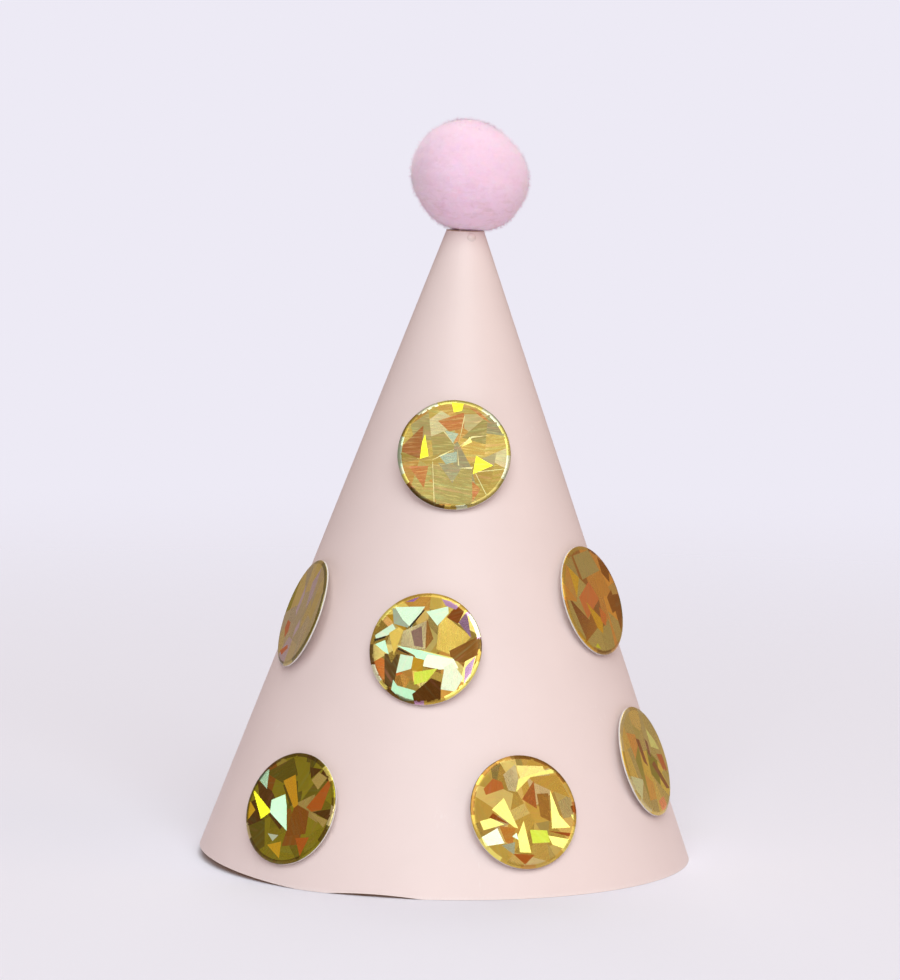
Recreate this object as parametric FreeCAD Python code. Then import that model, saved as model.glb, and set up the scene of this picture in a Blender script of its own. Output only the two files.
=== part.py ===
import FreeCAD, Part
import math
import os

from FreeCAD import Matrix, Placement, Vector

# A cone party hat. One sheet of card is rolled into a cone, lapped and glued up the back. Flat card
# discs faced with gold foil are stuck on with glue dots, and a pompom is glued into the cut tip.
# Sizes are in millimetres and degrees. The origin is the middle of the rim where the hat stands,
# +Z is up and the front of the hat faces -Y. Azimuths run from 0 at the front to 90 at the right.

# The rolled card
card_thickness = 0.4
half_angle = 20.05       # between the axis and the side
side_length = 163.1      # down the side, from the point where the sides would meet to the rim
tip_cut = 12.4           # down the side, from that point to the cut tip
lean = 1.0               # how far the hat leans to its right
lap_azimuth = 149.0      # free edge of the outer flap
lap_angle = 11.0         # how far round the flap lies over the inner tab
step_angle = 7.0         # how far round the card takes to step out over the tab
step_sections = 5        # sections that shape that step
seam_glue_thickness = 0.1

# The two shallow arches where the rim lifts off the table
side_lift_azimuth = -85.0
side_lift_height = 1.8
side_lift_width = 86.0
front_lift_azimuth = -16.0
front_lift_height = 0.6
front_lift_width = 21.4

# Discs
disc_diameter = 25.0
disc_thickness = 0.55    # card under the foil
foil_thickness = 0.1
edge_width = 0.7         # width of the edge that the punch presses down
edge_drop = 0.25         # how far the face falls across it
dot_diameter = 10.0
dot_thickness = 0.7      # glue under the middle of a disc

# Rows of discs, up the side from the rim
lower_row = 20.0
middle_row = 59.0
upper_row = 98.0

# Each disc was stuck on by hand. Its place is an azimuth, a row, how far it sits above the row and
# how far it rocks round the cone on its glue dot, positive towards larger azimuths.
disc_places = {
    "upper_front": (-2.2, upper_row, 0.8, 0.7),
    "upper_back": (182.0, upper_row, -0.9, 2.0),
    "middle_left": (-65.8, middle_row, 0.1, -7.1),
    "middle_front": (-8.5, middle_row, -4.2, -3.6),
    "middle_right": (63.4, middle_row, 5.5, -3.1),
    "middle_back_right": (138.0, middle_row, -0.9, 2.0),
    "middle_back_left": (218.0, middle_row, 3.1, 3.0),
    "lower_left": (-41.6, lower_row, -3.6, 1.3),
    "lower_front": (19.3, lower_row, -0.9, 3.3),
    "lower_right": (67.4, lower_row, 6.9, 0.1),
    "lower_back_right": (127.0, lower_row, 0.1, -2.0),
    "lower_back": (187.0, lower_row, 4.1, 1.5),
    "lower_back_left": (234.0, lower_row, -1.9, -2.5),
}

# Pompom
pompom_diameter = 26.0
pompom_sink = 0.3        # how far it is pressed down onto the cut tip
pompom_shift = 0.5       # how far its middle sits to the right of the axis

# Hot-melt glue
plug_depth = 5.0         # down the inside of the tip
bead_azimuth = 18.0
bead_drop = 1.3          # down the side from the cut tip to the middle of the bead
bead_width = 2.0
bead_height = 0.45       # how far it stands off the card

spare = 5.0              # how far a cutting shape runs past what it cuts

side_sin = math.sin(math.radians(half_angle))
side_cos = math.cos(math.radians(half_angle))
meeting_height = side_length * side_cos
rim_radius = side_length * side_sin
flap_out = seam_glue_thickness + card_thickness
origin = Vector(0, 0, 0)
up = Vector(0, 0, 1)


def side_point(distance, out):
    # A point this far down the side and this far outside the card's outer face, at azimuth 90.
    radius = distance * side_sin + out * side_cos
    height = meeting_height - distance * side_cos + out * side_sin
    return Vector(radius, 0, height)


def at_azimuth(shape, azimuth):
    turned = shape.copy()
    turned.rotate(origin, up, azimuth - 90)
    return turned


def layer_section(out, thickness, far):
    corners = [
        side_point(tip_cut, out),
        side_point(far, out),
        side_point(far, out - thickness),
        side_point(tip_cut, out - thickness),
    ]
    return Part.makePolygon(corners + corners[:1])


def layer(out, thickness, far, first, last):
    # A stretch of one layer of the roll between two azimuths.
    section = at_azimuth(Part.Face(layer_section(out, thickness, far)), first)
    return section.revolve(origin, up, last - first)


def full_cone(out, far):
    # The solid cone inside a face of the card.
    foot = side_point(far, out)
    point = meeting_height + out / side_sin
    return Part.makeCone(foot.x, 0, point - foot.z, Vector(0, 0, foot.z), up)


def revolved(points):
    # A solid of revolution about Z from the corners of its outline, each a radius and a height.
    corners = [Vector(radius, 0, height) for radius, height in points]
    return Part.Face(Part.makePolygon(corners + corners[:1])).revolve(origin, up, 360)


def leaned(shape):
    moved = shape.copy()
    moved.rotate(origin, Vector(0, 1, 0), lean)
    return moved


def table_trim():
    # Everything below the table, with the shallow arches where the rim lifts off it.
    reach = rim_radius + spare
    table = Part.makeBox(4 * reach, 4 * reach, reach, Vector(-2 * reach, -2 * reach, -reach))
    lifts = [
        (side_lift_azimuth, side_lift_height, side_lift_width),
        (front_lift_azimuth, front_lift_height, front_lift_width),
    ]
    arches = []
    for azimuth, height, width in lifts:
        radius = ((width / 2) ** 2 + height ** 2) / (2 * height)
        turn = math.radians(azimuth)
        outward = Vector(math.sin(turn), -math.cos(turn), 0)
        arches.append(Part.makeCylinder(radius, 2 * reach, Vector(0, 0, height - radius), outward))
    return table.fuse(arches)


def seam_step(far):
    # The card steps out smoothly from the face of the cone to lie over the tab.
    sections = []
    for number in range(step_sections):
        share = number / (step_sections - 1)
        out = flap_out * share ** 2 * (3 - 2 * share)
        azimuth = lap_azimuth + lap_angle + step_angle * (1 - share)
        sections.append(at_azimuth(layer_section(out, card_thickness, far), azimuth))
    return Part.makeLoft(sections, True, False)


def make_card(trim, far):
    tab_azimuth = lap_azimuth + lap_angle
    wall = layer(0, card_thickness, far, tab_azimuth + step_angle, tab_azimuth + 360)
    flap = layer(flap_out, card_thickness, far, lap_azimuth, tab_azimuth)
    rolled = wall.fuse([seam_step(far), flap])
    return leaned(rolled).cut(trim)


def make_seam_glue(trim, far):
    film = layer(seam_glue_thickness, seam_glue_thickness, far, lap_azimuth, lap_azimuth + lap_angle)
    return leaned(film).cut(trim)


def make_disc_card():
    # A disc lies on its flat back, and its face falls away at the edge.
    radius = disc_diameter / 2
    return revolved([(0, 0), (radius, 0), (radius, disc_thickness - edge_drop),
                     (radius - edge_width, disc_thickness), (0, disc_thickness)])


def make_foil():
    # The film follows the face of its card down to the edge.
    radius = disc_diameter / 2
    under = [(0, disc_thickness), (radius - edge_width, disc_thickness), (radius, disc_thickness - edge_drop)]
    over = [(place, height + foil_thickness) for place, height in reversed(under)]
    return revolved(under + over)


def disc_placement(azimuth, distance, rock, lift):
    # From a disc's own frame, with X down the side, Y round the cone and Z outwards, to the hat's.
    turn = math.radians(azimuth)
    radial = Vector(math.sin(turn), -math.cos(turn), 0)
    down = radial * side_sin - up * side_cos
    face = radial * side_cos + up * side_sin
    around = face.cross(down)
    rocked = math.radians(rock)
    out = face * math.cos(rocked) + around * math.sin(rocked)
    around = out.cross(down)
    seat = radial * (distance * side_sin) + up * (meeting_height - distance * side_cos) + out * lift
    return Placement(Matrix(down.x, around.x, out.x, seat.x,
                            down.y, around.y, out.y, seat.y,
                            down.z, around.z, out.z, seat.z,
                            0, 0, 0, 1))


def disc_seat(place, lift):
    azimuth, row, above, rock = place
    return disc_placement(azimuth, side_length - row - above, rock, lift)


def make_dot(place, core):
    # A glue dot between the flat back of a disc and the curved card.
    dot = Part.makeCylinder(dot_diameter / 2, dot_diameter / 2 + dot_thickness)
    dot.Placement = disc_seat(place, -dot_diameter / 2)
    return leaned(dot.cut(core))


def place_disc(shape, place):
    moved = shape.copy()
    moved.Placement = disc_seat(place, dot_thickness)
    return leaned(moved)


def tip_top():
    # The highest edge of the cut tip, where the flap lies over the tab.
    return side_point(tip_cut, flap_out).z


def make_pompom():
    # A ball, flat underneath where it is pressed onto the tip.
    radius = pompom_diameter / 2
    # Resting on the rim of the tip, its middle would be this high above it.
    rest = math.sqrt(radius ** 2 - side_point(tip_cut, 0).x ** 2)
    ball = Part.makeSphere(radius)
    ball.translate(Vector(pompom_shift, 0, tip_top() + rest - pompom_sink))
    reach = pompom_diameter
    below = Part.makeBox(2 * reach, 2 * reach, reach, Vector(-reach, -reach, tip_top() - reach))
    return leaned(ball.cut(below))


def make_tip_glue():
    # The plug that fills the tip and covers the card's cut edge.
    foot = side_point(tip_cut + plug_depth, -card_thickness)
    inner = side_point(tip_cut, -card_thickness)
    rim = side_point(tip_cut, 0)
    return leaned(revolved([(0, foot.z), (foot.x, foot.z), (inner.x, inner.z), (rim.x, rim.z),
                            (rim.x, tip_top()), (0, tip_top())]))


def make_glue_bead(core):
    radius = ((bead_width / 2) ** 2 + bead_height ** 2) / (2 * bead_height)
    bead = Part.makeSphere(radius)
    bead.Placement = disc_placement(bead_azimuth, tip_cut + bead_drop, 0, bead_height - radius)
    return leaned(bead.cut(core))


def build():
    # The card runs past the table before it is trimmed to stand on it.
    far = side_length + spare
    trim = table_trim()
    core = full_cone(0, far)
    parts = {
        "card_cone": make_card(trim, far),
        "seam_glue": make_seam_glue(trim, far),
        "pompom": make_pompom(),
        "tip_glue": make_tip_glue(),
        "glue_bead": make_glue_bead(core),
    }
    disc_card = make_disc_card()
    foil = make_foil()
    for name, place in disc_places.items():
        parts["disc_" + name] = place_disc(disc_card, place)
        parts["foil_" + name] = place_disc(foil, place)
        parts["dot_" + name] = make_dot(place, core)
    return parts


os.makedirs("parts", exist_ok=True)
for name, shape in build().items():
    shape.exportStep(f"parts/{name}.step")
    print(name, "solids", len(shape.Solids), "valid", shape.isValid(), "volume", round(shape.Volume, 2))
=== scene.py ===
import math
import random

import bmesh
import bpy
import numpy as np
from mathutils import Matrix, Vector, geometry, noise


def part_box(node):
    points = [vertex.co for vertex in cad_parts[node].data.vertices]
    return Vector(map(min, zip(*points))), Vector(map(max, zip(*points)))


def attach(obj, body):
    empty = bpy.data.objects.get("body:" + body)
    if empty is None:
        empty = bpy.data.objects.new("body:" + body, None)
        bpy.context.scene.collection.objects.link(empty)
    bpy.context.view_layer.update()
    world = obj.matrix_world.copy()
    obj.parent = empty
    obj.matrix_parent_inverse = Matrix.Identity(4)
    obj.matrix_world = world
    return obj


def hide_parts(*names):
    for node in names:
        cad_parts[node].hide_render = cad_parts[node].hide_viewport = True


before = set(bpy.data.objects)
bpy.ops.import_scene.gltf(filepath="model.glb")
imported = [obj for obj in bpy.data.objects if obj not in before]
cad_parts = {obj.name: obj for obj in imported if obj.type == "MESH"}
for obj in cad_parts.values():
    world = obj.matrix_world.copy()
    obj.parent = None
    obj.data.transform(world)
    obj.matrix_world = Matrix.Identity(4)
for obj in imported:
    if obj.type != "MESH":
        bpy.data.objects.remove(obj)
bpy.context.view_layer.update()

mm = 0.001

# Cone party hat: blush card cone, gold cracked-ice discs and a pink pompom.
# Metres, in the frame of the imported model: Z up, the front of the hat faces -Y.


def tone(red, green, blue):
    # a colour as it looks on screen, 0 to 255, to linear light
    def linear(value):
        value = value / 255
        return value / 12.92 if value <= 0.04045 else ((value + 0.055) / 1.055) ** 2.4
    return (linear(red), linear(green), linear(blue), 1.0)


def feed(tree, node, sockets):
    # link or set a node's inputs
    for key, value in sockets.items():
        if isinstance(value, bpy.types.NodeSocket):
            tree.links.new(value, node.inputs[key])
        else:
            node.inputs[key].default_value = value


def put(tree, kind, sockets=None, **settings):
    # add a node
    node = tree.nodes.new("ShaderNode" + kind)
    for key, value in settings.items():
        setattr(node, key, value)
    feed(tree, node, sockets or {})
    return node


def blendColour(tree, factor, first, second, how="MIX"):
    node = put(tree, "Mix", {0: factor, 6: first, 7: second}, data_type="RGBA", blend_type=how)
    return node.outputs[2]


def combine(tree, how, first, second):
    return put(tree, "Math", {0: first, 1: second}, operation=how).outputs[0]


def times(tree, first, second):
    return combine(tree, "MULTIPLY", first, second)


def plus(tree, first, second):
    return combine(tree, "ADD", first, second)


def vectorOf(tree, how, *vectors):
    return put(tree, "VectorMath", dict(enumerate(vectors)), operation=how).outputs[0]


def stretch(tree, value, low, high, toLow=0.0, toHigh=1.0):
    node = put(tree, "MapRange", {"Value": value, "From Min": low, "From Max": high,
                                  "To Min": toLow, "To Max": toHigh})
    return node.outputs["Result"]


def noiseOf(tree, vector, scale, detail, rough=0.5, twist=0.0, **settings):
    sockets = {"Vector": vector, "Scale": scale, "Detail": detail, "Roughness": rough, "Distortion": twist}
    return put(tree, "TexNoise", sockets, **settings).outputs["Fac"]


def bumpOf(tree, height, distance, strength, **more):
    sockets = {"Height": height, "Distance": distance, "Strength": strength, **more}
    return put(tree, "Bump", sockets).outputs[0]


def newGroup(name, inputs, outputs):
    # a node group, its inputs as (label, kind, value)
    group = bpy.data.node_groups.new(name, "ShaderNodeTree")
    for label, kind, value in inputs:
        socket = group.interface.new_socket(name=label, in_out="INPUT", socket_type="NodeSocket" + kind)
        if value is not None:
            socket.default_value = value
    for label, kind in outputs:
        group.interface.new_socket(name=label, in_out="OUTPUT", socket_type="NodeSocket" + kind)
    return group, group.nodes.new("NodeGroupInput").outputs, group.nodes.new("NodeGroupOutput")


def useGroup(tree, group, sockets):
    return put(tree, "Group", sockets, node_tree=group).outputs


def newMaterial(name, sockets):
    # a material with its shader, and the position that its patterns are laid by
    material = bpy.data.materials.new(name)
    material.use_nodes = True
    tree = material.node_tree
    tree.nodes.clear()
    shader = put(tree, "BsdfPrincipled", sockets)
    put(tree, "OutputMaterial", {"Surface": shader.outputs["BSDF"]})
    return material, tree, shader, put(tree, "TexCoord").outputs["Object"]


def addObject(name, data):
    item = bpy.data.objects.new(name, data)
    bpy.context.scene.collection.objects.link(item)
    return item


def addMesh(name, mesh):
    # an object from a finished bmesh
    data = bpy.data.meshes.new(name)
    mesh.to_mesh(data)
    mesh.free()
    return addObject(name, data)


def pointsOf(mesh):
    points = np.empty(len(mesh.vertices) * 3)
    mesh.vertices.foreach_get("co", points)
    return points.reshape(-1, 3)


def ramp(value, start, width):
    # 0 before the start, rising to 1 over the width
    return min(max((value - start) / width, 0.0), 1.0)


def makePaperGrain():
    # fibre height and cloudy variation of card, with sizes in mm
    group, source, sink = newGroup("paperGrain", [
        ("Position", "Vector", None), ("Fibre size", "Float", 0.3), ("Cloud size", "Float", 9.0)],
        [("Height", "Float"), ("Cloud", "Float")])
    perFibre = combine(group, "DIVIDE", 1000.0, source["Fibre size"])
    perCloud = combine(group, "DIVIDE", 1000.0, source["Cloud size"])
    feed(group, sink, {"Height": noiseOf(group, source["Position"], perFibre, 3.0, 0.65, 0.6),
                       "Cloud": noiseOf(group, source["Position"], perCloud, 4.0, 0.55)})
    return group


def makeSmudges():
    # patchy finger marks and rub marks, 0 clean to 1 marked, with their size in mm
    group, source, sink = newGroup("smudges", [
        ("Position", "Vector", None), ("Size", "Float", 6.0), ("Amount", "Float", 0.5)], [("Mask", "Float")])
    scale = combine(group, "DIVIDE", 1000.0, source["Size"])
    patch = noiseOf(group, source["Position"], scale, 5.0, 0.6, 0.8)
    edge = combine(group, "SUBTRACT", 0.78, times(group, source["Amount"], 0.4))
    feed(group, sink, {"Mask": stretch(group, patch, edge, plus(group, edge, 0.14))})
    return group


paperGrain = makePaperGrain()
smudges = makeSmudges()


# the rolled card's colours, in linear light, with the painted glow of its inside, and how high its rim is
# rubbed
cardLook = {
    "outside": (0.845, 0.700, 0.675, 1),
    "inside": (0.75, 0.60, 0.55, 1),
    "paintedGlow": (0.05, 0.03, 0.016, 1),
    "cutEdge": (0.86, 0.80, 0.78, 1),
    "scuff": (0.90, 0.80, 0.78, 1),
    "wearHeight": 0.9 * mm,
}


def makeCardMaterial():
    material, tree, shader, position = newMaterial("blushCard", {
        "Specular IOR Level": 0.42, "IOR": 1.5, "Emission Strength": 1.0})
    grain = useGroup(tree, paperGrain, {"Position": position, "Fibre size": 0.35, "Cloud size": 14.0})
    facing = put(tree, "NewGeometry").outputs["True Normal"]
    upward = put(tree, "SeparateXYZ", {0: facing}).outputs["Z"]
    height = put(tree, "SeparateXYZ", {0: position}).outputs["Z"]

    # the outside faces a little up and the inside a little down, and what faces neither way is cut
    outside = stretch(tree, upward, 0.08, 0.2)
    inside = times(tree, stretch(tree, upward, -0.08, -0.2), stretch(tree, upward, -0.75, -0.6))
    clouded = tuple(c * 0.975 for c in cardLook["outside"][:3]) + (1,)
    shade = blendColour(tree, stretch(tree, grain["Cloud"], 0.3, 0.7), cardLook["outside"], clouded)
    paint = blendColour(tree, outside, cardLook["cutEdge"], shade)
    paint = blendColour(tree, inside, paint, cardLook["inside"])

    # rubbed, paler card along the rim, and a few upright scuffs above it
    rub = times(tree, stretch(tree, height, cardLook["wearHeight"], 0.0),
                stretch(tree, grain["Height"], 0.35, 0.65))
    drawn = put(tree, "Mapping", {"Vector": position, "Scale": (1.0, 1.0, 0.06)}).outputs[0]
    line = noiseOf(tree, drawn, 1300.0, 2.0)
    where = useGroup(tree, smudges, {"Position": position, "Size": 17.0, "Amount": 0.45})
    scuff = times(tree, stretch(tree, line, 0.6, 0.68), where["Mask"])
    worn = combine(tree, "MAXIMUM", times(tree, rub, 0.7), times(tree, scuff, 0.55))
    paint = blendColour(tree, worn, paint, cardLook["scuff"])
    # painted glow: the card's inside emits a faint warm light, standing in for light that soaks through the
    # thin card
    paintedGlow = blendColour(tree, inside, (0, 0, 0, 1), cardLook["paintedGlow"])
    rough = plus(tree, stretch(tree, grain["Height"], 0.3, 0.7, 0.42, 0.52), times(tree, worn, 0.2))

    # a rolled sheet is never quite round: long shallow flats down the side
    flats = put(tree, "Mapping", {"Vector": position, "Scale": (1.0, 1.0, 0.15)}).outputs[0]
    sway = bumpOf(tree, noiseOf(tree, flats, 55.0, 1.0), 0.35 * mm, 0.35)
    bump = bumpOf(tree, grain["Height"], 0.012 * mm, 0.6, Normal=sway)
    feed(tree, shader, {"Base Color": paint, "Emission Color": paintedGlow, "Roughness": rough, "Normal": bump})
    return material


def makeBoardMaterial():
    # white board of the punched discs
    material, tree, shader, position = newMaterial("discBoard", {"Specular IOR Level": 0.3})
    grain = useGroup(tree, paperGrain, {"Position": position, "Fibre size": 0.12, "Cloud size": 2.5})
    paint = blendColour(tree, stretch(tree, grain["Height"], 0.35, 0.65),
                        (0.83, 0.81, 0.79, 1), (0.70, 0.67, 0.64, 1))
    paint = blendColour(tree, stretch(tree, grain["Cloud"], 0.4, 0.75), paint, (0.76, 0.70, 0.62, 1))
    feed(tree, shader, {"Base Color": paint, "Roughness": stretch(tree, grain["Cloud"], 0.3, 0.7, 0.7, 0.9),
                        "Normal": bumpOf(tree, grain["Height"], 0.03 * mm, 0.7)})
    return material


def makeGlueMaterial(name, clear, cloudy):
    # hot-melt glue between two given tones; the clear glue takes the tone of the card behind it
    material, tree, shader, position = newMaterial(name, {"IOR": 1.49, "Specular IOR Level": 0.5})
    cloud = noiseOf(tree, position, 900.0, 3.0)
    bubbles = put(tree, "TexVoronoi", {"Vector": position, "Scale": 1800.0}).outputs["Distance"]
    marks = useGroup(tree, smudges, {"Position": position, "Size": 0.8, "Amount": 0.6})
    dents = plus(tree, cloud, times(tree, stretch(tree, bubbles, 0.0, 0.25), 0.3))
    feed(tree, shader, {"Base Color": blendColour(tree, stretch(tree, cloud, 0.35, 0.7), clear, cloudy),
                        "Roughness": stretch(tree, marks["Mask"], 0.0, 1.0, 0.1, 0.28),
                        "Normal": bumpOf(tree, dents, 0.06 * mm, 0.5)})
    return material


cardMaterial = makeCardMaterial()
boardMaterial = makeBoardMaterial()
glueMaterial = makeGlueMaterial("hotGlue", (0.86, 0.73, 0.70, 1), (0.80, 0.66, 0.62, 1))
# the pressed glue at the tip is dark warm brown: real glue, and painted contact shade where the pompom sits
# on the tip
tipGlueAndShadeMaterial = makeGlueMaterial("pressedGlueAndPaintedShade", (0.55, 0.34, 0.25, 1), (0.40, 0.23, 0.16, 1))
finishes = {
    "card": cardMaterial, "disc": boardMaterial, "tip": tipGlueAndShadeMaterial,
    "seam": glueMaterial, "glue": glueMaterial, "dot": glueMaterial,
}
for name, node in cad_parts.items():
    # a node's first word says what it is made of
    finish = finishes.get(name.split("_")[0])
    if finish:
        for slot in node.material_slots:
            slot.material = finish
print("card, board and glue finished")


# tones of the cracked-ice foil: partly the film's own hues, partly painted reflection, the dark browns
# standing in for dim surroundings that a shard mirrors
foilTones = {
    "gold": (198, 165, 72), "paleGold": (218, 194, 110), "sand": (212, 194, 140),
    "amber": (208, 156, 34), "ochre": (192, 136, 56), "rust": (168, 90, 28),
    "copper": (190, 112, 50), "brown": (132, 82, 24), "darkBrown": (86, 58, 18),
    "olive": (132, 122, 26), "darkOlive": (96, 86, 22), "khaki": (170, 150, 80),
    "mint": (196, 241, 198), "paleMint": (218, 242, 206), "greyMint": (178, 192, 164),
    "cream": (246, 250, 212), "paleYellow": (245, 231, 120), "yellow": (253, 250, 42),
    "lime": (206, 214, 62), "lilac": (196, 150, 188), "violet": (166, 112, 178),
    "coral": (224, 132, 92), "greyGold": (156, 142, 104), "mauve": (164, 146, 150),
    "ink": (52, 40, 30), "rose": (204, 166, 146), "creaseGlint": (238, 222, 158),
}
foilTones = {name: tone(*levels) for name, levels in foilTones.items()}

brightTones = ("yellow", "cream", "paleYellow", "mint", "paleMint", "lime", "coral")

foilShape = {
    "segments": 96,
    # radius as a share of the disc's, and height below the flat face in mm
    "rings": [(0.2, 0), (0.4, 0), (0.6, 0), (0.78, 0), (0.905, 0.0), (0.93, 0.01), (0.952, 0.045),
              (0.972, 0.11), (0.988, 0.19), (1.0, 0.29), (0.9985, 0.345)],
    "tuck": 0.012,          # the last ring lies under the one before, so it is cut this much wider
    "rimFrom": 0.94,
    # the rolled edge is painted: its tone is brightened as a painted highlight, capped, and laid over the
    # shard's by this share
    "rimHighlightGain": 1.75, "rimMost": 1.15, "rimShare": 0.78,
    # creases in the film are drawn as pale lines: real creases, their paleness a painted glint
    "creaseGlintGain": 1.15,
    "lift": 0.02,           # mm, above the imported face
    "ripple": 0.035,        # mm, as far out as the flat face goes
    "flatTo": 0.85, "rollFrom": 0.9, "fade": 0.1,
    "wobble": 0.05,         # mm, in the radius of the rim
    "catches": Vector((0.04, -0.91, 0.42)),    # the way a shard faces to throw the studio light forward
}

cracking = {
    "largest": 0.7, "among": 4,     # how often the largest shard is split, or else one of so many
    "askew": 0.75,                  # radians off straight across the shard
    "upright": 0.22,                # radians off the side's own line, for a lengthwise crack
    "offMiddle": 0.12,
}

# What a disc has where it doesn't say otherwise.
plainDisc = {
    "paintedLightGain": 1.0, "paintedBrightGain": 0.8, "cracks": 30, "lengthwise": 0.1, "streak": 0.3,
    "lay": (0.0, math.pi), "arcs": [],
}
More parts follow.
